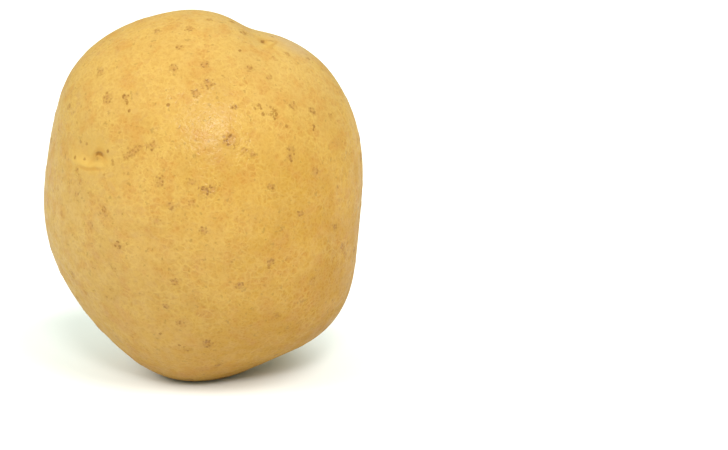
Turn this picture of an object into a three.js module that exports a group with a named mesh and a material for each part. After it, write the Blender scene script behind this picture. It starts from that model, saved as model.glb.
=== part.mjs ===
// A whole yellow-skinned potato standing on its narrow end, as one closed solid.
//
// Millimetres, +Z up. The origin is the middle of the small flat spot it stands on, and its broad
// face looks along -Y. A place on the skin is given by its direction from the heart of the tuber:
// its turn, in degrees from the broad face (-Y) round towards +X, and its rise, in degrees above
// the level of the heart.

import * as THREE from "three";
import { ImprovedNoise } from "three/addons/math/ImprovedNoise.js";
import { mergeVertices } from "three/addons/utils/BufferGeometryUtils.js";

// Driving dimensions

const HEART = new THREE.Vector3(1.6, -0.6, 47.3);
const DEPTH = 71;
// How much fuller the broad face is than the back, as a share of the depth's curvature.
const FRONT_FULLNESS = 0.06;

// The outline of the broad face: its radii from the heart at even angles, from the +X side up over
// the crown, down the -X side and round the foot.
const OUTLINE_RADII = [
  41.0, 43.8, 46.4, 47.3, 48.2, 47.6, 46.3, 41.6,
  40.7, 41.8, 43.4, 47.4, 48.8, 45.9, 47.2, 42.5,
];

// Broad swells and dents left by the way it grew: height in mm, and the angle at the heart over
// which each one fades. length is how many times longer it is across than up and down.
const SWELLS = [
  { name: "dip beside the crown", turn: 97, rise: 73, height: -1.4, spread: 13 },
  { name: "fold over the crown", turn: 97, rise: 73, height: -1.3, spread: 6, length: 3 },
  { name: "left back shoulder", turn: -140, rise: 32, height: 2.4, spread: 26 },
  { name: "right back hip", turn: 128, rise: -24, height: 1.6, spread: 24 },
  { name: "hollow of the back", turn: 176, rise: 6, height: -1.7, spread: 22 },
  { name: "belly of the front", turn: 6, rise: -12, height: 0.9, spread: 34 },
  { name: "dent at the left of the heel", turn: -105, rise: -48, height: -1.0, spread: 15 },
  { name: "right side of the foot", turn: 105, rise: -79, height: 1.3, spread: 11 },
];

// Gentle unevenness over the whole skin: height of the waves and the distance between them.
const UNEVENNESS = [
  { height: 0.8, wavelength: 40 },
  { height: 0.3, wavelength: 13 },
];

// The eyes wind up the tuber and crowd towards the crown. width is the length of the brow, lean turns
// the eye anticlockwise, and bud is how far to the right of the middle its bud sits.
const EYES = [
  { name: "left eye", turn: -43, rise: 24, width: 12.5, lean: -4, bud: 2.6 },
  { name: "crown eye", turn: 66, rise: 66, width: 9.0, lean: 14, bud: 0 },
  { name: "right eye", turn: 110, rise: 16, width: 10.0, lean: -12, bud: -0.8 },
  { name: "back eye", turn: -168, rise: 26, width: 11.5, lean: 8, bud: 0.6 },
  { name: "left back eye", turn: -116, rise: 43, width: 9.5, lean: -6, bud: 0 },
  { name: "right back eye", turn: 154, rise: -12, width: 11.5, lean: 12, bud: -0.5 },
  { name: "low left eye", turn: -126, rise: -22, width: 10.5, lean: -10, bud: 0.4 },
  { name: "top eye", turn: 172, rise: 70, width: 8.0, lean: 0, bud: 0 },
];
// One eye is a shallow hollow with a small bud in it, over a curved brow with a crease above it.
// Reaches and drops are shares of the brow's width, and the rest is in mm.
const HOLLOW_DEPTH = 1.0;
const HOLLOW_REACH_ACROSS = 0.58;
const HOLLOW_REACH_UP = 0.4;
const BROW_DROP = 0.27;
const BROW_SAG = 0.15;
const BROW_HEIGHT = 0.55;
const BROW_THICKNESS = 1.7;
const CREASE_DEPTH = 0.4;
const CREASE_THICKNESS = 1.3;
const BUD_HEIGHT = 0.5;
const BUD_RADIUS = 1.6;
// An eye has faded out at this angle from its middle, in degrees.
const EYE_LIMIT = 35;

// The round scar on the narrow end where the tuber hung from its stolon. Its rim rises round it.
const SCAR = { turn: 165, rise: -64, radius: 2.6, depth: 1.1, rimHeight: 0.35, rimRadius: 3.9 };

// Edges of the triangles are about 2.3 mm, and half of that at the eyes and the scar.
const SPHERE_DETAIL = 20;
const GATHER_SHARE = 0.5;
const GATHER_REACH = 13;
const WELD_DISTANCE = 1e-5;

const SKIN_COLOUR = 0xe1b15c;
const SKIN_ROUGHNESS = 0.55;

// Directions and fades

function direction(turn, rise) {
  const t = THREE.MathUtils.degToRad(turn);
  const r = THREE.MathUtils.degToRad(rise);
  return new THREE.Vector3(Math.sin(t) * Math.cos(r), -Math.cos(t) * Math.cos(r), Math.sin(r));
}

function degreesBetween(a, b) {
  return THREE.MathUtils.radToDeg(a.angleTo(b));
}

// Fades from 1 in the middle to about a third at 1.
function bell(x) {
  return Math.exp(-x * x);
}

// A mark on the skin with its own axes: up towards the crown, and across to the right of that.
function withAxes(mark) {
  const centre = direction(mark.turn, mark.rise);
  const up = new THREE.Vector3(0, 0, 1).addScaledVector(centre, -centre.z).normalize();
  up.applyAxisAngle(centre, THREE.MathUtils.degToRad(mark.lean ?? 0));
  const across = new THREE.Vector3().crossVectors(up, centre);
  return { ...mark, centre, up, across };
}

// Body

// The outline as waves round the heart: wave n holds the cosine and sine shares of 1 / radius squared.
function outlineWaves(radii) {
  const count = radii.length;
  const waves = [];
  for (let n = 0; n <= count / 2; n++) {
    const share = n === 0 || n === count / 2 ? 1 / count : 2 / count;
    const wave = { cos: 0, sin: 0 };
    radii.forEach((radius, i) => {
      const angle = (2 * Math.PI * i * n) / count;
      wave.cos += (share * Math.cos(angle)) / radius ** 2;
      wave.sin += (share * Math.sin(angle)) / radius ** 2;
    });
    waves.push(wave);
  }
  return waves;
}

const waves = outlineWaves(OUTLINE_RADII);

// The plain body is an oval in depth. The finer a wave of its outline is, the sooner it fades out
// towards the middle of each face, and the mean, wave 0, makes the oval with the depth.
const MEAN_FADE = 2;

function plainRadius(d) {
  const outwards = -d.y;
  const inPlane = Math.hypot(d.x, d.z);
  const around = Math.atan2(d.z, d.x);
  const halfDepth = DEPTH / 2;
  let inverseSquare = (outwards ** 2 * (1 - FRONT_FULLNESS * outwards)) / halfDepth ** 2;
  waves.forEach((wave, n) => {
    const fade = inPlane ** (n === 0 ? MEAN_FADE : n);
    inverseSquare += fade * (wave.cos * Math.cos(n * around) + wave.sin * Math.sin(n * around));
  });
  return 1 / Math.sqrt(inverseSquare);
}

const swells = SWELLS.map(withAxes);

function swellHeight(d) {
  let height = 0;
  for (const swell of swells) {
    const way = new THREE.Vector2(d.dot(swell.across) / (swell.length ?? 1), d.dot(swell.up));
    const straight = Math.hypot(d.dot(swell.across), d.dot(swell.up));
    const narrowing = straight > 0 ? way.length() / straight : 0;
    height += swell.height * bell((degreesBetween(d, swell.centre) * narrowing) / swell.spread);
  }
  return height;
}

const noise = new ImprovedNoise();

function unevenHeight(p) {
  let height = 0;
  for (const wave of UNEVENNESS) {
    const q = p.clone().divideScalar(wave.wavelength);
    height += wave.height * noise.noise(q.x, q.y, q.z);
  }
  return height;
}

// Eyes

const eyes = EYES.map(withAxes);

function eyeHeight(d, eye) {
  if (degreesBetween(d, eye.centre) > EYE_LIMIT) return 0;
  const radius = plainRadius(eye.centre);
  const u = d.dot(eye.across) * radius;
  const v = d.dot(eye.up) * radius;
  const alongBrow = (2 * u) / eye.width;
  const aboveBrow = v + (BROW_DROP - BROW_SAG * alongBrow ** 2) * eye.width;
  const browFade = bell(alongBrow ** 2);

  const acrossHollow = u / (HOLLOW_REACH_ACROSS * eye.width);
  const upHollow = v / (HOLLOW_REACH_UP * eye.width);
  const hollow = -HOLLOW_DEPTH * bell(Math.hypot(acrossHollow, upHollow));
  const brow = BROW_HEIGHT * browFade * bell(aboveBrow / BROW_THICKNESS);
  const aboveCrease = (aboveBrow - BROW_THICKNESS) / CREASE_THICKNESS;
  const crease = -CREASE_DEPTH * browFade * bell(aboveCrease);
  const bud = BUD_HEIGHT * bell(Math.hypot(u - eye.bud, v) / BUD_RADIUS);
  return hollow + brow + crease + bud;
}

// Stolon scar

const scarCentre = direction(SCAR.turn, SCAR.rise);

function scarHeight(d) {
  const reach = d.angleTo(scarCentre) * plainRadius(scarCentre);
  const rim = SCAR.rimHeight * bell((reach - SCAR.rimRadius) / SCAR.radius);
  return rim - SCAR.depth * bell(reach / SCAR.radius);
}

// Surface

// The triangles gather at the eyes and the scar.
function gather(d) {
  const gathered = d.clone();
  for (const centre of [...eyes.map((eye) => eye.centre), scarCentre]) {
    const pull = GATHER_SHARE * bell(degreesBetween(d, centre) / GATHER_REACH);
    gathered.addScaledVector(centre.clone().sub(d), pull);
  }
  return gathered.normalize();
}

function surfacePoint(d) {
  const plain = plainRadius(d);
  let radius = plain + swellHeight(d) + unevenHeight(d.clone().multiplyScalar(plain));
  for (const eye of eyes) radius += eyeHeight(d, eye);
  radius += scarHeight(d);
  const point = d.clone().multiplyScalar(radius).add(HEART);
  point.z = Math.max(point.z, 0);
  return point;
}

function potatoGeometry() {
  const sphere = new THREE.IcosahedronGeometry(1, SPHERE_DETAIL);
  sphere.deleteAttribute("normal");
  sphere.deleteAttribute("uv");
  const geometry = mergeVertices(sphere, WELD_DISTANCE);
  const position = geometry.getAttribute("position");
  const d = new THREE.Vector3();
  for (let i = 0; i < position.count; i++) {
    d.fromBufferAttribute(position, i).normalize();
    const point = surfacePoint(gather(d));
    position.setXYZ(i, point.x, point.y, point.z);
  }
  geometry.computeVertexNormals();
  return geometry;
}

const skin = new THREE.MeshStandardMaterial({
  color: SKIN_COLOUR,
  roughness: SKIN_ROUGHNESS,
  metalness: 0,
});

const potato = new THREE.Mesh(potatoGeometry(), skin);
potato.name = "potato";

const part = new THREE.Group();
part.add(potato);

export default part;
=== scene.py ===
import math

import bmesh
import bpy
import numpy as np
from bpy.props import FloatProperty, FloatVectorProperty, IntProperty, PointerProperty
from mathutils import Matrix, Vector
from mathutils.bvhtree import BVHTree


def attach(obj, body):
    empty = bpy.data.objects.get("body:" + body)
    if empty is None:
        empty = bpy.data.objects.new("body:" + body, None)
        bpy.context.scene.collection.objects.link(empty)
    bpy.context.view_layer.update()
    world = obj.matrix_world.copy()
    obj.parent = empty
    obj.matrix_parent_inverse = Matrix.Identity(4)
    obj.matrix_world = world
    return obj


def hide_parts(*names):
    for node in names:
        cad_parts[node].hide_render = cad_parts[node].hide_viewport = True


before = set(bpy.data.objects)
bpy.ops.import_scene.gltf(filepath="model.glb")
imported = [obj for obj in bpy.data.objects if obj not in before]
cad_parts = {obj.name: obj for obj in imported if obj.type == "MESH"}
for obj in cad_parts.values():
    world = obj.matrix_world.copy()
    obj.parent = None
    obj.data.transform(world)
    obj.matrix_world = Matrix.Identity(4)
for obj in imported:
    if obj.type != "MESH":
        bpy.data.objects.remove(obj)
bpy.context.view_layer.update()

bl_info = {
    "name": "Potato",
    "version": (1, 0, 0),
    "blender": (4, 5, 0),
    "location": "View3D > Sidebar > Potato",
    "description": "Grows the skin of a yellow potato over its solid and sets up a pale studio",
    "category": "Object",
}

# Sizes are in metres, as Blender has them. MM turns millimetres into metres.
MM = 0.001
NODE = "potato"
BODY = "root"
TUBER = "potato_tuber"
SKIN = "washed_potato_skin"

# The heart of the tuber, from which the places on its skin are given, and where the picture has it.
HEART = Vector((1.6, -0.6, 47.3)) * MM
PICTURE_WIDTH = 728
PICTURE_HEIGHT = 450
HEART_COLUMN = 203
HEART_ROW = 196
PIXEL_AT_HEART = 0.258 * MM
LENS = 85
SENSOR = 36

# Lowest coordinates that the skin may have: it never sinks below the flat spot that it stands on.
LOWEST = (-1, -1, 0)
# What a noise is on average, in each of its three channels.
NOISE_MEAN = (0.5, 0.5, 0.5)

# Eyes: turn from the broad face (-Y) round towards +X and rise above the heart in degrees, length
# of the brow in mm, lean anticlockwise in degrees, and how far right of the middle the bud is in mm.
EYES = (
    (-43, 24, 12.5, 5, 2.6),
    (66, 66, 9.0, 14, 0.0),
    (110, 16, 10.0, -12, -0.8),
    (-168, 26, 11.5, 8, 0.6),
    (-116, 43, 9.5, -6, 0.0),
    (154, -12, 11.5, 12, -0.5),
    (-126, -22, 10.5, -10, 0.4),
    (172, 70, 8.0, 0, 0.0),
)
# How far the brow runs below an eye's middle, as a share of its length.
BROW_DROP = 0.27
# The fine lines of an eye, in mm. A reach is the distance at which a form has faded to about a third.
# First the crease along the brow: its sag, as a share of the brow's length, how far it wavers, and how
# fast, in radians a mm.
CREASE_SAG = 0.06
CREASE_WAVER = 0.12
CREASE_WAVES = 1.3
CREASE_REACH = 0.55
CREASE_DEPTH = 0.08
# The lip above the crease.
LIP_RISE = 1.2
LIP_REACH = 0.9
LIP_HEIGHT = 0.08
# The nub of the bud.
NUB_REACH = 0.9
NUB_HEIGHT = 0.35
# The slit that bends over the nub like an eyelid. Its bend is in mm for each square mm along it.
SLIT_RISE = 0.55
SLIT_BEND = 0.25
SLIT_REACH = 0.55
SLIT_DEPTH = 0.3
SLIT_HALF_LENGTH = 1.75
# How far an eye's pale tone reaches, across in half lengths of the brow and up in lengths of it, and
# how far up the slit's mark reaches, in half lengths of the slit.
EYE_REACH_ACROSS = 1.15
EYE_REACH_UP = 0.42
SLIT_MARK_REACH = 3

# The scar where the tuber hung from its stolon: turn, rise, and the radius of its dry stub in mm.
SCAR = (165, -64, 2.6)
# The stub's folds: how many there are, how high in mm, and the ring that they lie in, its middle and
# its reach as shares of the stub's radius.
STUB_FOLDS = 9
FOLD_HEIGHT = 0.22
FOLD_RING = 0.7
FOLD_REACH = 0.35

# Pores on the front as the camera sees them: how far right of the heart and above it, and how wide,
# in mm, and how dark, from 0 to 1.
FRONT_PORES = (
    (1.5, 45.5, 2.0, 0.6), (-3.5, 43, 2.4, 0.7), (-12, 42.5, 2.4, 0.5), (10.5, 42, 2.2, 0.7),
    (-6, 38.5, 2.0, 0.7), (22, 36.5, 1.8, 0.5), (18.5, 35.5, 1.8, 0.6), (0.5, 34, 2.2, 0.8),
    (-7.5, 33, 2.6, 0.8), (12, 33, 2.2, 0.7), (-26.5, 32, 2.4, 0.5), (17, 30.5, 2.0, 0.7),
    (1.5, 29, 2.8, 0.9), (-2, 26.5, 2.4, 0.7), (-24.5, 25.5, 3.0, 0.6), (-20, 25.5, 2.0, 1.0),
    (23, 23.5, 2.2, 0.6), (-34.5, 23, 2.0, 0.9), (8, 23, 1.8, 0.9), (28, 22, 2.0, 0.7),
    (33, 20.5, 1.8, 0.6), (7, 14.5, 3.4, 1.0), (-13, 13, 2.4, 0.8), (22.5, 12, 2.2, 0.7),
    (10.5, 11.5, 1.8, 0.5), (12.5, 11, 2.2, 0.5), (22.5, 10, 2.4, 0.8), (-32.5, 6.5, 2.0, 0.6),
    (29, 6.5, 2.0, 0.7), (-11, 4, 2.6, 0.8), (-31.5, 4, 2.0, 0.5), (-3, 3.5, 2.0, 0.7),
    (17.5, 2.5, 2.0, 0.8), (-37.5, 2, 1.6, 0.5), (2.5, 1.5, 2.2, 0.9), (0.5, 1.5, 2.4, 0.9),
    (-3, -1.5, 2.0, 0.6), (-8.5, -2.5, 2.2, 0.7), (-25.5, -3.5, 1.8, 0.6), (-36.5, -4.5, 1.6, 0.5),
    (25, -4.5, 1.8, 0.7), (-25, -5, 1.6, 0.5), (-12, -6.5, 2.2, 0.6), (-29, -7.5, 1.8, 0.6),
    (34, -8, 2.0, 0.7), (0, -9, 2.2, 0.7), (-22, -12.5, 2.2, 0.8), (17.5, -17, 2.2, 0.7),
    (-23, -19, 1.6, 0.6), (-7.5, -22, 2.0, 0.8), (28, -22, 2.2, 0.5), (9.5, -23, 2.0, 0.9),
    (-23.5, -24, 1.6, 0.6), (-30, -25, 2.0, 0.8), (-9.5, -28.5, 1.8, 0.8), (19, -31, 2.4, 0.5),
    (-6.5, -32.5, 1.8, 0.7), (-22, -36.5, 1.6, 0.6), (1, -38, 3.0, 0.9), (-4, -39.5, 1.6, 0.8),
    (4, -43.5, 2.0, 0.7), (-32.5, 0.5, 1.8, 0.5), (-29, 0.5, 1.8, 0.6), (-33.5, -20.5, 2.0, 0.6),
    (36, -13, 2.4, 0.8), (36.5, -15, 1.8, 0.7), (17.5, 40, 1.8, 0.6), (27, 35.5, 1.8, 0.6),
)
# Small brown specks on the front, given in the same way, all of one width.
SPECK_WIDTH = 0.9
FRONT_SPECKS = (
    (18, 41, 0.9), (9.5, 37.5, 0.8), (-9, 23.5, 0.9), (14.5, 23.5, 0.7), (17.5, 23, 0.6),
    (13.5, 22.5, 0.7), (15, 22.5, 0.8), (18.5, 22, 0.7), (15.5, 21, 0.7), (19, 21, 0.8),
    (17.5, 21, 0.6), (18.5, 20, 0.8), (21.5, 18, 0.7), (28.5, 18, 0.9), (28.5, 17, 0.9),
    (-31.5, 14, 0.6), (-30, 13.5, 0.6), (-24.5, 11.5, 0.9), (-33, 10, 0.7), (-30.5, 9.5, 0.7),
    (-19.5, 24, 0.7), (-19, 22, 0.9), (17, -18.5, 0.7), (-11, -35.5, 0.8), (-6, -38.5, 0.8),
    (-27.2, 9.7, 0.4), (-23.3, 9.2, 0.5), (-23.2, 8.2, 0.5), (-25.5, 5.5, 0.5),
)
# A short scratch on the front, from one end to the other in the same way, healed as a row of cork.
SCRATCH = ((-16.5, 12.5), (-20, 10))
SCRATCH_GRAINS = 5
SCRATCH_WIDTH = 1.9
SCRATCH_DARKNESS = 0.55

# The cork's roughness and the wax's weight, each where the skin is least and most polished, and the
# refractive index of both. The wax's is higher than a real one's, so that a thin sheen is enough.
CORK_ROUGHNESS = (0.64, 0.5)
WAX_WEIGHT = (0.18, 0.34)
CORK_IOR = 1.45
WAX_IOR = 1.7


def linear(hex_colour):
    """An sRGB hex colour as linear red, green and blue."""
    parts = [int(hex_colour[i:i + 2], 16) / 255 for i in (1, 3, 5)]
    return tuple(c / 12.92 if c <= 0.04045 else ((c + 0.055) / 1.055) ** 2.4 for c in parts)


def socket(sockets, key):
    """The socket in use with that name, or the one at that index."""
    if isinstance(key, int):
        return sockets[key]
    return next(s for s in sockets if s.name == key and s.enabled)


def add(tree, kind, inputs=None, out=0, **settings):
    """Adds a node with its settings and its inputs, which are values, other nodes' outputs or lists
    of them, and returns the output that out names or counts, or the node where out is None."""
    made = tree.nodes.new(kind)
    for name, value in settings.items():
        setattr(made, name, value)
    for key, value in (inputs or {}).items():
        target = socket(made.inputs, key)
        for one in value if isinstance(value, list) else [value]:
            if isinstance(one, bpy.types.NodeSocket):
                tree.links.new(one, target)
            elif target.type == "RGBA":
                target.default_value = (*one[:3], 1)
            else:
                target.default_value = one
    return made if out is None else socket(made.outputs, out)


def node_group(name, **inputs):
    """A Geometry Nodes tree that takes a geometry and the named inputs, and its input node."""
    tree = bpy.data.node_groups.new(name, "GeometryNodeTree")
    tree.is_modifier = True
    tree.interface.new_socket("Geometry", in_out="INPUT", socket_type="NodeSocketGeometry")
    tree.interface.new_socket("Geometry", in_out="OUTPUT", socket_type="NodeSocketGeometry")
    for label, kind in inputs.items():
        tree.interface.new_socket(label, in_out="INPUT", socket_type=kind)
    return tree, add(tree, "NodeGroupInput", out=None)


def applied(obj, tree, values, name):
    """What a Geometry Nodes tree makes of an object, as a plain mesh object of its own."""
    modifier = obj.modifiers.new(tree.name, "NODES")
    modifier.node_group = tree
    for item in tree.interface.items_tree:
        if item.item_type == "SOCKET" and item.in_out == "INPUT" and item.name in values:
            modifier[item.identifier] = values[item.name]
    bpy.context.view_layer.update()
    grown = obj.evaluated_get(bpy.context.evaluated_depsgraph_get())
    mesh = bpy.data.meshes.new_from_object(grown)
    obj.modifiers.remove(modifier)
    mesh.name = name
    made = bpy.data.objects.new(name, mesh)
    bpy.context.scene.collection.objects.link(made)
    return made


def discard(*objects):
    """Removes helper objects with their meshes."""
    for obj in objects:
        mesh = obj.data
        bpy.data.objects.remove(obj)
        bpy.data.meshes.remove(mesh)


def direction(turn, rise):
    """The direction from the heart at a turn and a rise in degrees."""
    t, r = math.radians(turn), math.radians(rise)
    return Vector((math.sin(t) * math.cos(r), -math.cos(t) * math.cos(r), math.sin(r)))


def axes_at(centre, lean=0):
    """Right and up along the skin at a direction, turned anticlockwise by lean, in degrees."""
    up = Vector((0, 0, 1)) - centre * centre.z
    up.normalize()
    up.rotate(Matrix.Rotation(math.radians(lean), 3, centre))
    return up.cross(centre), up


def bell(x):
    """Fades from 1 at the middle to about a third at 1."""
    return np.exp(-np.square(x))


def camera_axes(elevation):
    """The camera's right, up and backward directions, looking along +Y and down by elevation."""
    back = Vector((0, -math.cos(elevation), math.sin(elevation)))
    right = Vector((1, 0, 0))
    return right, back.cross(right), back


def camera_place(elevation):
    """Where the camera stands so that the heart falls on its own column and row of the picture."""
    right, up, back = camera_axes(elevation)
    distance = PIXEL_AT_HEART * PICTURE_WIDTH * LENS / SENSOR
    across = (HEART_COLUMN - PICTURE_WIDTH / 2) * PIXEL_AT_HEART
    above = (PICTURE_HEIGHT / 2 - HEART_ROW) * PIXEL_AT_HEART
    return HEART + back * distance - right * across - up * above


class PotatoStage(bpy.types.PropertyGroup):
    elevation: FloatProperty(
        name="Camera elevation", description="How far the camera looks down",
        default=math.radians(13), subtype="ANGLE", unit="ROTATION",
    )
    floor: FloatVectorProperty(
        name="Floor", description="Colour of the floor",
        default=linear("#E8E8E8"), size=3, subtype="COLOR", min=0, max=1,
    )
    left_softbox: FloatProperty(
        name="Left softbox", description="Strength of the wide soft light at the left",
        default=1.75, min=0.0,
    )
    right_softbox: FloatProperty(
        name="Right softbox", description="Strength of the wide soft light at the right",
        default=2.2, min=0.0,
    )
    top_softbox: FloatProperty(
        name="Top softbox", description="Strength of the wide soft light overhead",
        default=0.25, min=0.0,
    )
    key_lamp: FloatProperty(
        name="Key lamp", description="Strength of the small lamp that makes the highlight",
        default=1.15, min=0.0,
    )
    surround: FloatVectorProperty(
        name="Surround", description="Colour of the room that lights the potato from all sides",
        default=(0.85, 1.0, 0.84), size=3, subtype="COLOR", min=0, max=1,
    )
    surround_strength: FloatProperty(
        name="Surround strength", description="Brightness of the room round the potato",
        default=0.75, min=0.0,
    )


class PotatoSkin(bpy.types.PropertyGroup):
    ochre: FloatVectorProperty(
        name="Ochre", description="Main colour of the skin",
        default=linear("#A47729"), size=3, subtype="COLOR", min=0, max=1,
    )
    straw: FloatVectorProperty(
        name="Straw", description="Paler patches of the skin",
        default=linear("#B3873C"), size=3, subtype="COLOR", min=0, max=1,
    )
    orange: FloatVectorProperty(
        name="Orange", description="Warmer blotches of the skin",
        default=linear("#A26C2F"), size=3, subtype="COLOR", min=0, max=1,
    )
    threads: FloatVectorProperty(
        name="Threads", description="Pale threads of the net over the skin",
        default=linear("#C4A256"), size=3, subtype="COLOR", min=0, max=1,
    )
    cork: FloatVectorProperty(
        name="Cork", description="Dark grains of cork in the pores",
        default=linear("#6E4618"), size=3, subtype="COLOR", min=0, max=1,
    )
    net_pitch: FloatProperty(
        name="Net pitch", description="Width of one mesh of the fine net",
        default=1.0 * MM, min=0.2 * MM, unit="LENGTH", subtype="DISTANCE",
    )
    sheen_blur: FloatProperty(
        name="Sheen blur", description="How blurred the waxy sheen of the skin is",
        default=0.28, min=0.05, max=1.0, subtype="FACTOR",
    )


class PotatoTuber(bpy.types.PropertyGroup):
    cells: IntProperty(
        name="Cells",
        description="Faces along each side of the six-sided grid that the skin is woven on",
        default=128, min=16, max=256,
    )
    smoothing: IntProperty(
        name="Smoothing",
        description="Rounds of smoothing that take the facets of the solid out of the skin",
        default=6, min=0, max=40,
    )
    eye_relief: FloatProperty(
        name="Eye relief",
        description="How strongly the lips, creases and buds of the eyes stand out",
        default=1.0, min=0.0, max=2.0, subtype="FACTOR",
    )


class PotatoPores(bpy.types.PropertyGroup):
    spacing: FloatProperty(
        name="Spacing",
        description="Least distance between two pores where they grow at random",
        default=5.5 * MM, min=2 * MM, unit="LENGTH", subtype="DISTANCE",
    )
    smallest: FloatProperty(
        name="Smallest",
        description="Width of the smallest pore that grows at random",
        default=1.1 * MM, min=0.2 * MM, unit="LENGTH", subtype="DISTANCE",
    )
    largest: FloatProperty(
        name="Largest",
        description="Width of the largest pore that grows at random",
        default=2.8 * MM, min=0.2 * MM, unit="LENGTH", subtype="DISTANCE",
    )
    height: FloatProperty(
        name="Height",
        description="How far the corky rim of a pore stands out of the skin",
        default=0.13 * MM, min=0.0, unit="LENGTH", subtype="DISTANCE",
    )
    seed: IntProperty(
        name="Seed",
        description="Draws another scatter of pores",
        default=7, min=0,
    )


class POTATO_OT_stage(bpy.types.Operator):
    """Set up the pale floor, the soft lights and the camera"""

    bl_idname = "potato.stage"
    bl_label = "Set up the stage"

    floor_reach = 3.0
    card_roughness = 0.9
    card_shine = 0.1
    # The camera sees nothing nearer than this.
    nearest_seen = 0.01
    # Each light's turn, rise and width as seen from the heart, in degrees. They shine as from far
    # off, so that the floor is evenly lit.
    lights = {
        "left_softbox": (-65, 42, 34),
        "right_softbox": (45, 49, 34),
        "top_softbox": (0, 68, 42),
        "key_lamp": (9, 39, 12),
    }

    def execute(self, context):
        values = context.scene.potato_stage
        self.floor(context.scene, values)
        self.surround(context.scene, values)
        for name, place in self.lights.items():
            self.light(context.scene, name, place, getattr(values, name))
        self.camera(context.scene, values)
        context.scene.view_settings.view_transform = "Standard"
        return {"FINISHED"}

    def floor(self, scene, values):
        """A floor of matt white card, which scatters the light and hardly shines."""
        material = bpy.data.materials.new("matt_white_card")
        material.use_nodes = True
        shader = material.node_tree.nodes["Principled BSDF"]
        shader.inputs["Base Color"].default_value = (*values.floor, 1)
        shader.inputs["Roughness"].default_value = self.card_roughness
        shader.inputs["Specular IOR Level"].default_value = self.card_shine
        work = bmesh.new()
        bmesh.ops.create_grid(work, x_segments=1, y_segments=1, size=self.floor_reach)
        mesh = bpy.data.meshes.new("floor")
        work.to_mesh(mesh)
        work.free()
        mesh.materials.append(material)
        floor = bpy.data.objects.new("floor", mesh)
        scene.collection.objects.link(floor)
        return floor

    def surround(self, scene, values):
        """A pale room, which lights the potato from all sides."""
        world = bpy.data.worlds.new("pale_room")
        world.use_nodes = True
        background = world.node_tree.nodes["Background"]
        background.inputs["Color"].default_value = (*values.surround, 1)
        background.inputs["Strength"].default_value = values.surround_strength
        scene.world = world

    def light(self, scene, name, place, strength):
        """A wide far lamp. Only the key lamp shows in the sheen, as the one soft highlight."""
        turn, rise, width = place
        light = bpy.data.lights.new(name, "SUN")
        light.angle = math.radians(width)
        light.energy = strength
        lamp = bpy.data.objects.new(name, light)
        lamp.rotation_euler = direction(turn, rise).to_track_quat("Z", "Y").to_euler()
        lamp.visible_glossy = name == "key_lamp"
        scene.collection.objects.link(lamp)

    def camera(self, scene, values):
        """The camera, level from side to side, with the heart where the picture has it."""
        lens = bpy.data.cameras.new("camera")
        lens.lens = LENS
        lens.sensor_width = SENSOR
        lens.clip_start = self.nearest_seen
        camera = bpy.data.objects.new("camera", lens)
        camera.location = camera_place(values.elevation)
        camera.rotation_euler = (math.pi / 2 - values.elevation, 0, 0)
        scene.collection.objects.link(camera)
        scene.camera = camera


class POTATO_OT_skin(bpy.types.Operator):
    """Make the material of the potato's skin"""

    bl_idname = "potato.skin"
    bl_label = "Make the skin's material"

    def execute(self, context):
        potato_skin(context.scene.potato_skin)
        return {"FINISHED"}


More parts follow.
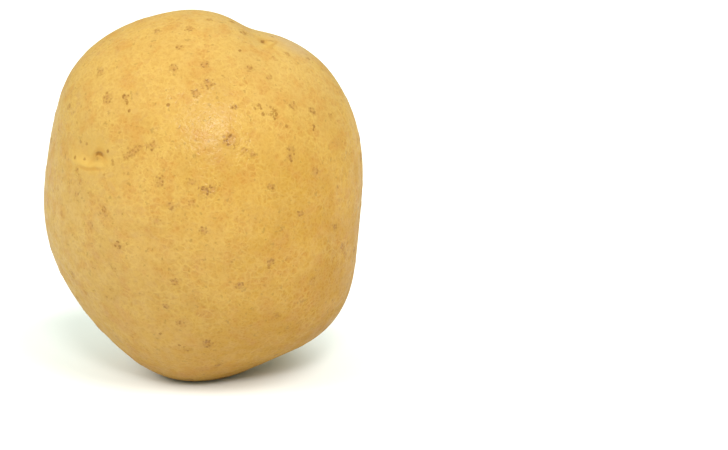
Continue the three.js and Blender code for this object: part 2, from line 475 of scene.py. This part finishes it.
def potato_skin(values):
    """Washed skin of a yellow potato: dry cork a tenth of a millimetre thick over yellow flesh.

    The flesh makes it ochre. As the tuber swelled, the cork split into a fine net of pale threads.
    Its pores are plugged with dark grains. The cork is dull, and the wax in it gives a thin sheen
    that comes and goes.
    """
    material = bpy.data.materials.new(SKIN)
    material.use_nodes = True
    tree = material.node_tree
    tree.nodes.clear()
    place = add(tree, "ShaderNodeTexCoord", out="Object")
    mm = add(tree, "ShaderNodeVectorMath", {0: place, "Scale": 1 / MM}, operation="SCALE")

    # What the mesh carries: how near an eye, its lip, the scar and a pore are, and how dark the pore is.
    marks = {}
    for name in ("eye", "lip", "scar", "pore", "dark"):
        marks[name] = add(tree, "ShaderNodeAttribute", out="Fac", attribute_name=name)

    # Cloudy patterns: the size of a cloud in mm, its detail, and the noise values where it starts and
    # is full. W sets each one's noise well apart from the others'.
    clouds = {
        "patches": (16, 3, 0.42, 0.60),
        "blotches": (4, 3, 0.46, 0.66),
        "grain": (0.9, 2, 0.40, 0.66),
        "worn": (7, 2, 0.34, 0.60),
        "flecks": (1.1, 1, 0.66, 0.72),
        "smudges": (2.2, 2, 0.56, 0.68),
        "polish": (3, 2, 0.35, 0.65),
    }
    for seed, (name, (size, detail, low, high)) in enumerate(clouds.items()):
        cloud = add(tree, "ShaderNodeTexNoise", {
            "Vector": mm, "W": 10.0 * seed, "Scale": 1 / size, "Detail": detail,
        }, noise_dimensions="4D")
        marks[name] = add(tree, "ShaderNodeMapRange", {
            "Value": cloud, "From Min": low, "From Max": high,
        }, interpolation_type="SMOOTHSTEP")

    # The net: the edges of cells, bent by a noise, fine ones all over and wider ones here and there.
    # Sizes are in mm. A thread has half faded away at its half width.
    fine = values.net_pitch / MM
    wide = 1.9 * fine
    sway_size = 1.3 * fine
    sway_width = 1.6 * fine
    wander = add(tree, "ShaderNodeTexNoise", {"Vector": mm, "Scale": 1 / sway_size}, out="Color")
    bend = add(tree, "ShaderNodeVectorMath", {0: wander, 1: NOISE_MEAN}, operation="SUBTRACT")
    bent = add(tree, "ShaderNodeVectorMath", {0: bend, 1: (sway_width,) * 3, 2: mm},
               operation="MULTIPLY_ADD")
    for name, pitch, half_width in (("threads", fine, 0.17), ("wide_threads", wide, 0.19)):
        edge = add(tree, "ShaderNodeTexVoronoi", {"Vector": bent, "Scale": 1 / pitch},
                   feature="DISTANCE_TO_EDGE")
        marks[name] = add(tree, "ShaderNodeMapRange", {
            "Value": edge, "From Max": half_width / pitch * 2, "To Min": 1.0, "To Max": 0.0,
        }, interpolation_type="SMOOTHSTEP")

    # Lines of the eyes: the mesh carries how far along the line and how far beside it a place is, the
    # first as a share of its half length and the second in mm, and how near the eye's middle it is.
    # Each mark is full at the first of its limits and gone at the second.
    along_limits = (0.4, 0.95)
    halo_limits = (0.7, 2.4)
    for name, reach in (("crease", CREASE_REACH), ("slit", SLIT_REACH)):
        beside_limits = (0.3 * reach, 1.2 * reach)
        carried = add(tree, "ShaderNodeAttribute", out="Vector", attribute_name=name + "_place")
        along, beside, near = add(tree, "ShaderNodeSeparateXYZ", {0: carried}, out=None).outputs
        if name == "slit":
            # A warm halo lies round the bud, longer along its slit than across.
            flat = add(tree, "ShaderNodeVectorMath", {0: carried, 1: (1, 1, 0)},
                       operation="MULTIPLY")
            away = add(tree, "ShaderNodeVectorMath", {0: flat}, out="Value", operation="LENGTH")
            halo = add(tree, "ShaderNodeMapRange", {
                "Value": away, "From Min": halo_limits[0], "From Max": halo_limits[1],
                "To Min": 1.0, "To Max": 0.0,
            }, interpolation_type="SMOOTHSTEP")
            marks["bud"] = add(tree, "ShaderNodeMath", {0: near, 1: halo}, operation="MULTIPLY")
        line = near
        for offset, (full, none) in ((along, along_limits), (beside, beside_limits)):
            size = add(tree, "ShaderNodeMath", {0: offset}, operation="ABSOLUTE")
            fade = add(tree, "ShaderNodeMapRange", {
                "Value": size, "From Min": full, "From Max": none, "To Min": 1.0, "To Max": 0.0,
            }, interpolation_type="SMOOTHSTEP")
            line = add(tree, "ShaderNodeMath", {0: line, 1: fade}, operation="MULTIPLY")
        marks[name] = line

    # Pores: the mesh carries where a place is from the middle of its pore, so that 1 is at the rim. A
    # noise of 0.85 on average is added, so that the edge frays, and the limits of the body and the
    # pale heart allow for it. A crumb of dark cork has its limits as shares of its size. Each mark is
    # full at the first of its limits and gone at the second. Sizes are in mm.
    fray_size = 0.9
    fray_width = 1.7
    crumb_size = 0.8
    offset = add(tree, "ShaderNodeAttribute", out="Vector", attribute_name="pore_place")
    reach = add(tree, "ShaderNodeVectorMath", {0: offset}, out="Value", operation="LENGTH")
    fray = add(tree, "ShaderNodeTexNoise", {"Vector": mm, "Scale": 1 / fray_size, "Detail": 1.0})
    frayed = add(tree, "ShaderNodeMath", {0: fray, 1: fray_width, 2: reach}, operation="MULTIPLY_ADD")
    crumb = add(tree, "ShaderNodeTexVoronoi", {"Vector": mm, "Scale": 1 / crumb_size})
    for name, value, full, none in (
        ("pore_body", frayed, 1.4, 2.05), ("pore_heart", frayed, 1.0, 1.35), ("crumbs", crumb, 0.28, 0.6),
    ):
        marks[name] = add(tree, "ShaderNodeMapRange", {
            "Value": value, "From Min": full, "From Max": none, "To Min": 1.0, "To Max": 0.0,
        }, interpolation_type="SMOOTHSTEP")
    # A mark up to 1.3 mm wide is a speck, and one from 1.7 mm on is a full pore.
    width = add(tree, "ShaderNodeAttribute", out="Fac", attribute_name="pore_width")
    for name, low, high in (("wide_pore", 1.3 * MM, 1.7 * MM), ("speck", 1.6 * MM, 1.3 * MM)):
        marks[name] = add(tree, "ShaderNodeMapRange", {
            "Value": width, "From Min": low, "From Max": high,
        })

    # Masks that keep a coat off the eyes or close to a pore: the mark that each follows, and that
    # mark's values where the mask is 0 and 1.
    for name, source, low, high in (("off_eye", "eye", 0.9, 0.35), ("near_pore", "pore", 0.02, 0.15)):
        marks[name] = add(tree, "ShaderNodeMapRange", {
            "Value": marks[source], "From Min": low, "From Max": high,
        })
    # Places with a tone: a middle, and how far from it the tone is full and gone, in mm. The left side
    # is a greyish film in part and painted sheen in part, the crown is greyish skin with painted sheen
    # from above, and the right flank is brown scurf with painted shade. The dusty crown is the skin's
    # own.
    for name, middle, full, none in (
        ("pale_side", (-60, -20, 45), 25.0, 95.0), ("pale_crown", (22, 0, 92), 10.0, 55.0),
        ("dusty_crown", (25, -3, 88), 2.0, 10.0), ("ruddy_flank", (42, -14, 26), 6.0, 32.0),
    ):
        away = add(tree, "ShaderNodeVectorMath", {0: mm, 1: middle}, out="Value",
                   operation="DISTANCE")
        marks[name] = add(tree, "ShaderNodeMapRange", {
            "Value": away, "From Min": full, "From Max": none, "To Min": 1.0, "To Max": 0.0,
        }, interpolation_type="SMOOTHSTEP")

    # Coats of colour from the flesh outwards: the marks that carry each, its strength and its colour.
    coats = (
        (("patches",), 0.52, values.straw),
        # Painted sheen on the left side, over a greyish film of the skin's own.
        (("pale_side",), 0.75, linear("#AE8D52")),
        # Painted sheen from above on the crown, over paler greyish skin.
        (("pale_crown",), 0.8, linear("#B18E52")),
        # Brown scurf, with painted shade on the right flank.
        (("ruddy_flank",), 0.5, linear("#916224")),
        (("blotches",), 0.45, values.orange),
        (("grain",), 0.25, linear("#926729")),
        (("threads", "off_eye"), 0.16, values.threads),
        (("wide_threads", "worn", "off_eye"), 0.22, values.threads),
        (("smudges", "pale_side"), 0.3, linear("#A07A4E")),
        (("dusty_crown",), 0.45, linear("#AA8E6C")),
        (("flecks",), 0.38, linear("#7D612B")),
        (("eye",), 0.6, linear("#B59048")),
        # Painted highlight on the lip, where it faces the light.
        (("lip",), 0.4, linear("#C09A4C")),
        (("scar",), 0.85, linear("#694A2B")),
        (("pore_body", "near_pore", "dark", "wide_pore"), 0.56, linear("#956A31")),
        (("pore_body", "near_pore", "dark", "wide_pore", "crumbs"), 0.74, values.cork),
        (("pore_heart", "near_pore", "wide_pore"), 0.4, linear("#A97B42")),
        (("pore_body", "near_pore", "dark", "speck"), 0.85, linear("#80561F")),
        (("bud",), 0.5, linear("#A0702C")),
        # Painted shade in the crease under the brow.
        (("crease",), 0.4, linear("#9A6A28")),
        # The bud's own dark brown, with painted shade in its slit.
        (("slit",), 0.82, linear("#7C5018")),
    )
    colour = values.ochre
    for names, strength, tint in coats:
        amount = strength
        for name in names:
            amount = add(tree, "ShaderNodeMath", {0: amount, 1: marks[name]}, operation="MULTIPLY")
        colour = add(tree, "ShaderNodeMix", {0: amount, 6: colour, 7: tint}, out=2,
                     data_type="RGBA")

    # Relief too fine for the mesh: the marks that carry each form, and its height in mm.
    reliefs = (
        (("threads", "worn", "off_eye"), 0.025),
        (("wide_threads", "worn", "off_eye"), 0.025),
        (("grain",), -0.025),
        (("polish",), 0.02),
        (("pore_body", "near_pore", "dark", "crumbs"), -0.05),
        (("pore_heart", "near_pore"), 0.03),
        (("crease",), -0.03),
        (("slit",), -0.15),
    )
    relief = 0.0
    for names, height in reliefs:
        for name in names:
            height = add(tree, "ShaderNodeMath", {0: height, 1: marks[name]}, operation="MULTIPLY")
        relief = add(tree, "ShaderNodeMath", {0: relief, 1: height}, operation="ADD")
    bump = add(tree, "ShaderNodeBump", {"Height": relief, "Distance": MM, "Strength": 1.0})

    # The cork itself is dull. The waxy sheen on it comes and goes from patch to patch.
    roughness, wax = (
        add(tree, "ShaderNodeMapRange", {"Value": marks["polish"], "To Min": least, "To Max": most})
        for least, most in (CORK_ROUGHNESS, WAX_WEIGHT)
    )
    shader = add(tree, "ShaderNodeBsdfPrincipled", {
        "Base Color": colour, "Roughness": roughness, "Normal": bump, "IOR": CORK_IOR,
        "Specular IOR Level": 0.0, "Coat Weight": wax, "Coat Roughness": values.sheen_blur,
        "Coat IOR": WAX_IOR, "Coat Normal": bump,
    })
    add(tree, "ShaderNodeOutputMaterial", {"Surface": shader}, out=None)


class POTATO_OT_tuber(bpy.types.Operator):
    """Grow the tuber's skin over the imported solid, with the fine lines of its eyes"""

    bl_idname = "potato.tuber"
    bl_label = "Grow the tuber"

    # Corners of the solid's loose triangles that are closer than this are one corner.
    merge_distance = 0.001 * MM
    # Longer than any way out of the tuber.
    ray_length = 1.0

    def execute(self, context):
        values = context.scene.potato_tuber
        form = self.smooth_form()
        seed = bpy.data.objects.new("seed_mesh", bpy.data.meshes.new("seed_mesh"))
        context.scene.collection.objects.link(seed)
        settings = {
            "Cells": values.cells, "Smoothing": values.smoothing, "Form": form, "Heart": HEART,
            "Skin": bpy.data.materials[SKIN],
        }
        tuber = applied(seed, self.tuber_tree(), settings, TUBER)
        discard(seed, form)
        if len(tuber.data.polygons) != 6 * values.cells ** 2:
            raise RuntimeError("the tuber's grid is not whole")
        self.carve(tuber.data, values.eye_relief)
        return {"FINISHED"}

    def smooth_form(self):
        """A smooth copy of the solid, its loose triangles merged first."""
        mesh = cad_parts[NODE].data.copy()
        work = bmesh.new()
        work.from_mesh(mesh)
        bmesh.ops.remove_doubles(work, verts=work.verts, dist=self.merge_distance)
        work.to_mesh(mesh)
        work.free()
        form = bpy.data.objects.new("tuber_form", mesh)
        bpy.context.scene.collection.objects.link(form)
        rounding = form.modifiers.new("Rounding", "SUBSURF")
        rounding.levels = 2
        rounding.render_levels = 2
        return form

    def tuber_tree(self):
        """A six-sided grid blown up from the heart until it lies on the form."""
        tree, given = node_group(
            "Potato tuber", Cells="NodeSocketInt", Smoothing="NodeSocketInt",
            Form="NodeSocketObject", Heart="NodeSocketVector", Skin="NodeSocketMaterial",
        )
        corners = add(tree, "ShaderNodeMath", {0: given.outputs["Cells"], 1: 1.0}, operation="ADD")
        grid = add(tree, "GeometryNodeMeshCube", {
            "Size": (2, 2, 2), "Vertices X": corners, "Vertices Y": corners, "Vertices Z": corners,
        })
        place = add(tree, "GeometryNodeInputPosition")
        # The tangent spaces the grid evenly in angle, so that its cells come out alike in size.
        angle = add(tree, "ShaderNodeVectorMath", {0: place, "Scale": math.pi / 4},
                    operation="SCALE")
        even = add(tree, "ShaderNodeVectorMath", {0: angle}, operation="TANGENT")
        outward = add(tree, "ShaderNodeVectorMath", {0: even}, operation="NORMALIZE")
        form = add(tree, "GeometryNodeObjectInfo", {"Object": given.outputs["Form"]},
                   out="Geometry")
        hit = add(tree, "GeometryNodeRaycast", {
            "Target Geometry": form, "Source Position": given.outputs["Heart"],
            "Ray Direction": outward, "Ray Length": self.ray_length,
        }, out="Hit Position")
        blown = add(tree, "GeometryNodeSetPosition", {"Geometry": grid, "Position": hit})
        soft = add(tree, "GeometryNodeBlurAttribute", {
            "Value": place, "Iterations": given.outputs["Smoothing"],
        }, data_type="FLOAT_VECTOR")
        standing = add(tree, "ShaderNodeVectorMath", {0: soft, 1: LOWEST}, operation="MAXIMUM")
        smooth = add(tree, "GeometryNodeSetPosition", {"Geometry": blown, "Position": standing})
        shaded = add(tree, "GeometryNodeSetShadeSmooth", {"Geometry": smooth, "Shade Smooth": True})
        real = add(tree, "GeometryNodeRealizeInstances", {"Geometry": shaded})
        dressed = add(tree, "GeometryNodeSetMaterial", {
            "Geometry": real, "Material": given.outputs["Skin"],
        })
        add(tree, "NodeGroupOutput", {"Geometry": dressed}, out=None)
        return tree

    def carve(self, mesh, strength):
        """Cuts the fine lines of the eyes and the scar, and marks the skin with where they are."""
        place = np.empty(len(mesh.vertices) * 3)
        outward = np.empty_like(place)
        mesh.vertices.foreach_get("co", place)
        mesh.vertices.foreach_get("normal", outward)
        place = place.reshape(-1, 3)
        outward = outward.reshape(-1, 3)
        around = place - np.array(HEART)
        around /= np.linalg.norm(around, axis=1)[:, None]
        marks = {
            "eye": np.zeros(len(place)), "lip": np.zeros(len(place)),
            "crease_place": np.zeros_like(place), "slit_place": np.zeros_like(place),
        }
        height = np.zeros(len(place))
        # Cosine of the angle at the heart between each place and the closest eye so far. An eye is
        # carved only where it is closer than those before it.
        closest = np.full(len(place), -1.0)
        for eye in EYES:
            centre = direction(*eye[:2])
            closeness = around @ np.array(centre)
            ours = closeness > closest
            closest = np.maximum(closest, closeness)
            middle = place[np.argmax(closeness)]
            self.carve_eye(eye, centre, (place - middle) / MM, ours, marks, height)
        stub, marks["scar"] = self.carve_scar(place, around)
        place += outward * ((height * strength + stub) * MM)[:, None]
        place = np.maximum(place, LOWEST)
        mesh.vertices.foreach_set("co", place.ravel())
        for name, values in marks.items():
            kind, field = ("FLOAT", "value") if values.ndim == 1 else ("FLOAT_VECTOR", "vector")
            mesh.attributes.new(name, kind, "POINT").data.foreach_set(field, values.ravel())
        mesh.update()

    def carve_eye(self, eye, centre, offset, ours, marks, height):
        """One eye's lip, crease, nub and slit, on the skin that is ours: closer to this eye than to
        those before it."""
        _, _, length, lean, bud = eye
        right, up = axes_at(centre, lean)
        u = offset @ np.array(right)
        v = offset @ np.array(up)
        along = 2 * u / length
        waver = CREASE_WAVER * np.sin(CREASE_WAVES * u + bud)
        above_brow = v + (BROW_DROP - CREASE_SAG * along ** 2) * length + waver
        along_slit = (u - bud) / SLIT_HALF_LENGTH
        above_slit = v - SLIT_RISE + SLIT_BEND * (u - bud) ** 2
        fade = bell(along ** 2)
        near_eye = bell((along / EYE_REACH_ACROSS) ** 2 + (v / (EYE_REACH_UP * length)) ** 2)
        near_lip = fade * bell((above_brow - LIP_RISE) / LIP_REACH)
        near_slit = bell(v / (SLIT_MARK_REACH * SLIT_HALF_LENGTH))
        crease = -CREASE_DEPTH * fade * bell(above_brow / CREASE_REACH)
        nub = NUB_HEIGHT * bell(np.hypot(u - bud, v) / NUB_REACH)
        slit = -SLIT_DEPTH * bell(above_slit / SLIT_REACH) * bell(along_slit ** 2)
        height += np.where(ours, LIP_HEIGHT * near_lip + crease + nub + slit, 0)
        marks["eye"][ours] = near_eye[ours]
        # The lip's mark carries the painted highlight in the skin's colour.
        marks["lip"][ours] = near_lip[ours]
        marks["crease_place"][ours] = np.stack([along, above_brow, fade], axis=1)[ours]
        marks["slit_place"][ours] = np.stack([along_slit, above_slit, near_slit], axis=1)[ours]

    def carve_scar(self, place, around):
        """The dry stub left by the stolon: its relief in mm and how near it is."""
        turn, rise, radius = SCAR
        centre = np.array(direction(turn, rise))
        middle = place[np.argmax(around @ centre)]
        reach = np.linalg.norm(place - middle, axis=1) / MM / radius
        right, up = axes_at(Vector(centre))
        spokes = np.arctan2((place - middle) @ np.array(right), (place - middle) @ np.array(up))
        folds = np.cos(STUB_FOLDS * spokes) * bell((reach - FOLD_RING) / FOLD_REACH)
        return FOLD_HEIGHT * folds, bell(reach ** 2)


class POTATO_OT_pores(bpy.types.Operator):
    """Raise the corky pores on the tuber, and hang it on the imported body"""

    bl_idname = "potato.pores"
    bl_label = "Raise the pores"

    # Where the cosine of the angle between the skin's outward direction and the camera's is above
    # this, the pores are the listed ones.
    seen_above = 0.2
    # Points tried on each square metre of the rest, before those nearer than the spacing are dropped.
    points_tried = 30000.0
    # How dark the palest and the darkest pores are that grow at random.
    darkness = (0.4, 1.0)
    # The noise that makes the rims ragged: the size of its lumps, and how widely it shakes a place.
    ragged_size = 0.9 * MM
    ragged_width = 1.2 * MM
    # How far from a pore's middle its mark ends, as a share of its width.
    mark_end = 0.83
    # Height of the skin from well clear of a pore, at 0, to its middle, at 1. It rises to the rim and
    # sinks in the middle. Half means no change.
    pore_profile = ((0, 0.5), (0.2, 0.52), (0.42, 0.95), (0.7, 0.55), (1, 0.3))

    def execute(self, context):
        values = context.scene.potato_pores
        elevation = context.scene.potato_stage.elevation
        plain = bpy.data.objects[TUBER]
        self.mark_unseen(plain.data, camera_place(elevation))
        placed = self.placed_pores(plain.data, elevation)
        settings = {
            "Placed": placed, "Spacing": values.spacing, "Smallest": values.smallest,
            "Largest": values.largest, "Height": values.height, "Seed": values.seed,
            "Skin": bpy.data.materials[SKIN],
        }
        tuber = applied(plain, self.pore_tree(), settings, TUBER)
        discard(plain, placed)
        tuber.name = TUBER
        if "pore" not in tuber.data.attributes:
            raise RuntimeError("the pores left no mark on the skin")
        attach(tuber, BODY)
        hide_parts(NODE)
        return {"FINISHED"}

    def mark_unseen(self, mesh, camera):
        """Marks the skin that the camera hardly sees, where the pores grow at random."""
        unseen = [
            float((camera - v.co).normalized().dot(v.normal) < self.seen_above) for v in mesh.vertices
        ]
        mesh.attributes.new("unseen", "FLOAT", "POINT").data.foreach_set("value", unseen)

    def placed_pores(self, mesh, elevation):
        """The listed pores, as points on the skin with their width and their darkness. One
        that would miss the skin is left out."""
        marks = list(FRONT_PORES)
        marks += [(across, above, SPECK_WIDTH, dark) for across, above, dark in FRONT_SPECKS]
        start, end = (Vector(p) for p in SCRATCH)
        for grain in range(SCRATCH_GRAINS):
            across, above = start.lerp(end, grain / (SCRATCH_GRAINS - 1))
            marks.append((across, above, SCRATCH_WIDTH, SCRATCH_DARKNESS))
        camera = camera_place(elevation)
        right, up, _ = camera_axes(elevation)
        corners = [v.co for v in mesh.vertices]
        faces = [tuple(p.vertices) for p in mesh.polygons]
        skin = BVHTree.FromPolygons(corners, faces)
        found = []
        for across, above, width, dark in marks:
            aim = HEART + (right * across + up * above) * MM
            hit = skin.ray_cast(camera, (aim - camera).normalized())[0]
            if hit is not None:
                found.append((hit, width * MM, dark))
        points = bpy.data.meshes.new("placed_pores")
        points.from_pydata([hit for hit, _, _ in found], [], [])
        widths = [width for _, width, _ in found]
        darks = [dark for _, _, dark in found]
        for name, values in (("width", widths), ("dark", darks)):
            points.attributes.new(name, "FLOAT", "POINT").data.foreach_set("value", values)
        placed = bpy.data.objects.new("placed_pores", points)
        bpy.context.scene.collection.objects.link(placed)
        return placed

    def pore_tree(self):
        """Raises a corky rim round each pore, and marks the skin with the pore nearest to it."""
        tree, given = node_group(
            "Potato pores", Placed="NodeSocketObject", Spacing="NodeSocketFloat",
            Smallest="NodeSocketFloat", Largest="NodeSocketFloat", Height="NodeSocketFloat",
            Seed="NodeSocketInt", Skin="NodeSocketMaterial",
        )
        skin = given.outputs["Geometry"]
        unseen = add(tree, "GeometryNodeInputNamedAttribute", {"Name": "unseen"}, data_type="FLOAT")
        scattered = add(tree, "GeometryNodeDistributePointsOnFaces", {
            "Mesh": skin, "Distance Min": given.outputs["Spacing"], "Density Factor": unseen,
            "Density Max": self.points_tried, "Seed": given.outputs["Seed"],
        }, distribute_method="POISSON")
        # What each of those pores draws at random, each with a seed of its own.
        for name, low, high, seed in (
            ("width", given.outputs["Smallest"], given.outputs["Largest"], 3),
            ("dark", *self.darkness, 11),
        ):
            drawn = add(tree, "FunctionNodeRandomValue", {"Min": low, "Max": high, "Seed": seed},
                        out="Value", data_type="FLOAT")
            scattered = add(tree, "GeometryNodeStoreNamedAttribute", {
                "Geometry": scattered, "Name": name, "Value": drawn,
            }, data_type="FLOAT", domain="POINT")
        by_hand = add(tree, "GeometryNodeObjectInfo", {"Object": given.outputs["Placed"]},
                      out="Geometry")
        points = add(tree, "GeometryNodeMeshToPoints", {"Mesh": by_hand})
        pores = add(tree, "GeometryNodeJoinGeometry", {"Geometry": [scattered, points]})

        # The rims are ragged, because the place is shaken by a fine noise before it is measured.
        place = add(tree, "GeometryNodeInputPosition")
        noise = add(tree, "ShaderNodeTexNoise", {
            "Vector": place, "Scale": 1 / self.ragged_size, "Detail": 1.0,
        }, out="Color")
        centred = add(tree, "ShaderNodeVectorMath", {0: noise, 1: NOISE_MEAN}, operation="SUBTRACT")
        shaken = add(tree, "ShaderNodeVectorMath", {
            0: centred, 1: (self.ragged_width,) * 3, 2: place,
        }, operation="MULTIPLY_ADD")
        nearest = add(tree, "GeometryNodeSampleNearest", {
            "Geometry": pores, "Sample Position": shaken,
        })
        centre = add(tree, "GeometryNodeSampleIndex", {
            "Geometry": pores, "Value": place, "Index": nearest,
        }, data_type="FLOAT_VECTOR")
        width, dark = (
            add(tree, "GeometryNodeSampleIndex", {
                "Geometry": pores, "Index": nearest,
                "Value": add(tree, "GeometryNodeInputNamedAttribute", {"Name": name}, data_type="FLOAT"),
            }, data_type="FLOAT") for name in ("width", "dark")
        )
        away = add(tree, "ShaderNodeVectorMath", {0: shaken, 1: centre}, out="Value",
                   operation="DISTANCE")
        share = add(tree, "ShaderNodeMath", {0: away, 1: width}, operation="DIVIDE")
        # 1 in the middle of a pore, 0.4 at its rim and 0 well clear of it.
        closeness = add(tree, "ShaderNodeMapRange", {
            "Value": share, "From Max": self.mark_end, "To Min": 1.0, "To Max": 0.0,
        })
        shape = add(tree, "ShaderNodeFloatCurve", {"Value": closeness}, out=None)
        curve = shape.mapping.curves[0]
        clear, *between, middle = self.pore_profile
        curve.points[0].location = clear
        curve.points[-1].location = middle
        for nearness, height in between:
            curve.points.new(nearness, height)
        shape.mapping.update()
        lift = add(tree, "ShaderNodeMapRange", {
            "Value": shape.outputs[0], "To Min": -1.0, "To Max": 1.0,
        })
        for factor in (dark, given.outputs["Height"]):
            lift = add(tree, "ShaderNodeMath", {0: lift, 1: factor}, operation="MULTIPLY")
        normal = add(tree, "GeometryNodeInputNormal")
        raised = add(tree, "ShaderNodeVectorMath", {0: normal, "Scale": lift}, operation="SCALE")

        # Where the place is from the pore's middle, so that 1 is at its rim.
        from_centre = add(tree, "ShaderNodeVectorMath", {0: place, 1: centre}, operation="SUBTRACT")
        halves = add(tree, "ShaderNodeMath", {0: 2.0, 1: width}, operation="DIVIDE")
        offset = add(tree, "ShaderNodeVectorMath", {0: from_centre, "Scale": halves},
                     operation="SCALE")
        for name, value, kind in (
            ("pore", closeness, "FLOAT"), ("dark", dark, "FLOAT"), ("pore_width", width, "FLOAT"),
            ("pore_place", offset, "FLOAT_VECTOR"),
        ):
            skin = add(tree, "GeometryNodeStoreNamedAttribute", {
                "Geometry": skin, "Name": name, "Value": value,
            }, data_type=kind, domain="POINT")
        lifted = add(tree, "GeometryNodeSetPosition", {"Geometry": skin, "Offset": raised})
        standing = add(tree, "ShaderNodeVectorMath", {0: place, 1: LOWEST}, operation="MAXIMUM")
        settled = add(tree, "GeometryNodeSetPosition", {"Geometry": lifted, "Position": standing})
        real = add(tree, "GeometryNodeRealizeInstances", {"Geometry": settled})
        dressed = add(tree, "GeometryNodeSetMaterial", {
            "Geometry": real, "Material": given.outputs["Skin"],
        })
        add(tree, "NodeGroupOutput", {"Geometry": dressed}, out=None)
        return tree


class POTATO_PT_panel(bpy.types.Panel):
    """The steps that make the potato, in order"""

    bl_idname = "POTATO_PT_panel"
    bl_label = "Potato"
    bl_space_type = "VIEW_3D"
    bl_region_type = "UI"
    bl_category = "Potato"

    def draw(self, context):
        for operator, group in (
            (POTATO_OT_stage, context.scene.potato_stage),
            (POTATO_OT_skin, context.scene.potato_skin),
            (POTATO_OT_tuber, context.scene.potato_tuber),
            (POTATO_OT_pores, context.scene.potato_pores),
        ):
            box = self.layout.box()
            for name in group.__annotations__:
                box.prop(group, name)
            box.operator(operator.bl_idname)


CLASSES = (
    PotatoStage, PotatoSkin, PotatoTuber, PotatoPores,
    POTATO_OT_stage, POTATO_OT_skin, POTATO_OT_tuber, POTATO_OT_pores,
    POTATO_PT_panel,
)
GROUPS = {
    "potato_stage": PotatoStage,
    "potato_skin": PotatoSkin,
    "potato_tuber": PotatoTuber,
    "potato_pores": PotatoPores,
}


def register():
    for cls in CLASSES:
        bpy.utils.register_class(cls)
    for name, group in GROUPS.items():
        setattr(bpy.types.Scene, name, PointerProperty(type=group))


def unregister():
    for name in GROUPS:
        delattr(bpy.types.Scene, name)
    for cls in reversed(CLASSES):
        bpy.utils.unregister_class(cls)


def main():
    register()
    bpy.ops.potato.stage()
    bpy.ops.potato.skin()
    bpy.ops.potato.tuber()
    bpy.ops.potato.pores()


if __name__ == "__main__":
    main()
